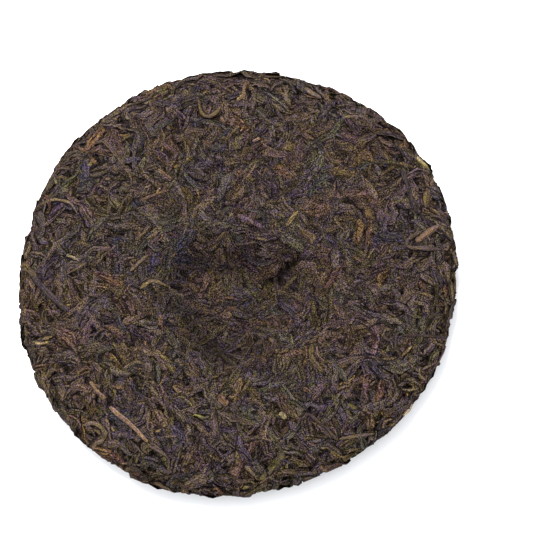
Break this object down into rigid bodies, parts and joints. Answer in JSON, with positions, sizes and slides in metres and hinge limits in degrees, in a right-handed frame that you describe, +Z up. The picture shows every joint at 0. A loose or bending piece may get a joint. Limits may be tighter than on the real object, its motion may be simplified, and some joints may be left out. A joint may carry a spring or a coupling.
{
  "type": "compressed tea cake",
  "caption": "Round cake of dark compressed ripe tea leaf, flat on top with an off-centre dimple, a rounded rough rim and a gently domed underside that it rests on",
  "frame": {"origin": "centre of the cake's outline on the surface that it rests on", "axes": "+Z up through the cake's thickness, out of the dimpled face; +X and +Y lie in the plane of the cake and point to the right and the top of the picture"},
  "size_m": [0.1948, 0.1946, 0.0242],
  "materials": {
    "pressed_leaf": "rough, matt to slightly waxy pressed dry leaf"
  },
  "bodies": {
    "root": {"tea_cake": "pressed_leaf"}
  },
  "joints": []
}
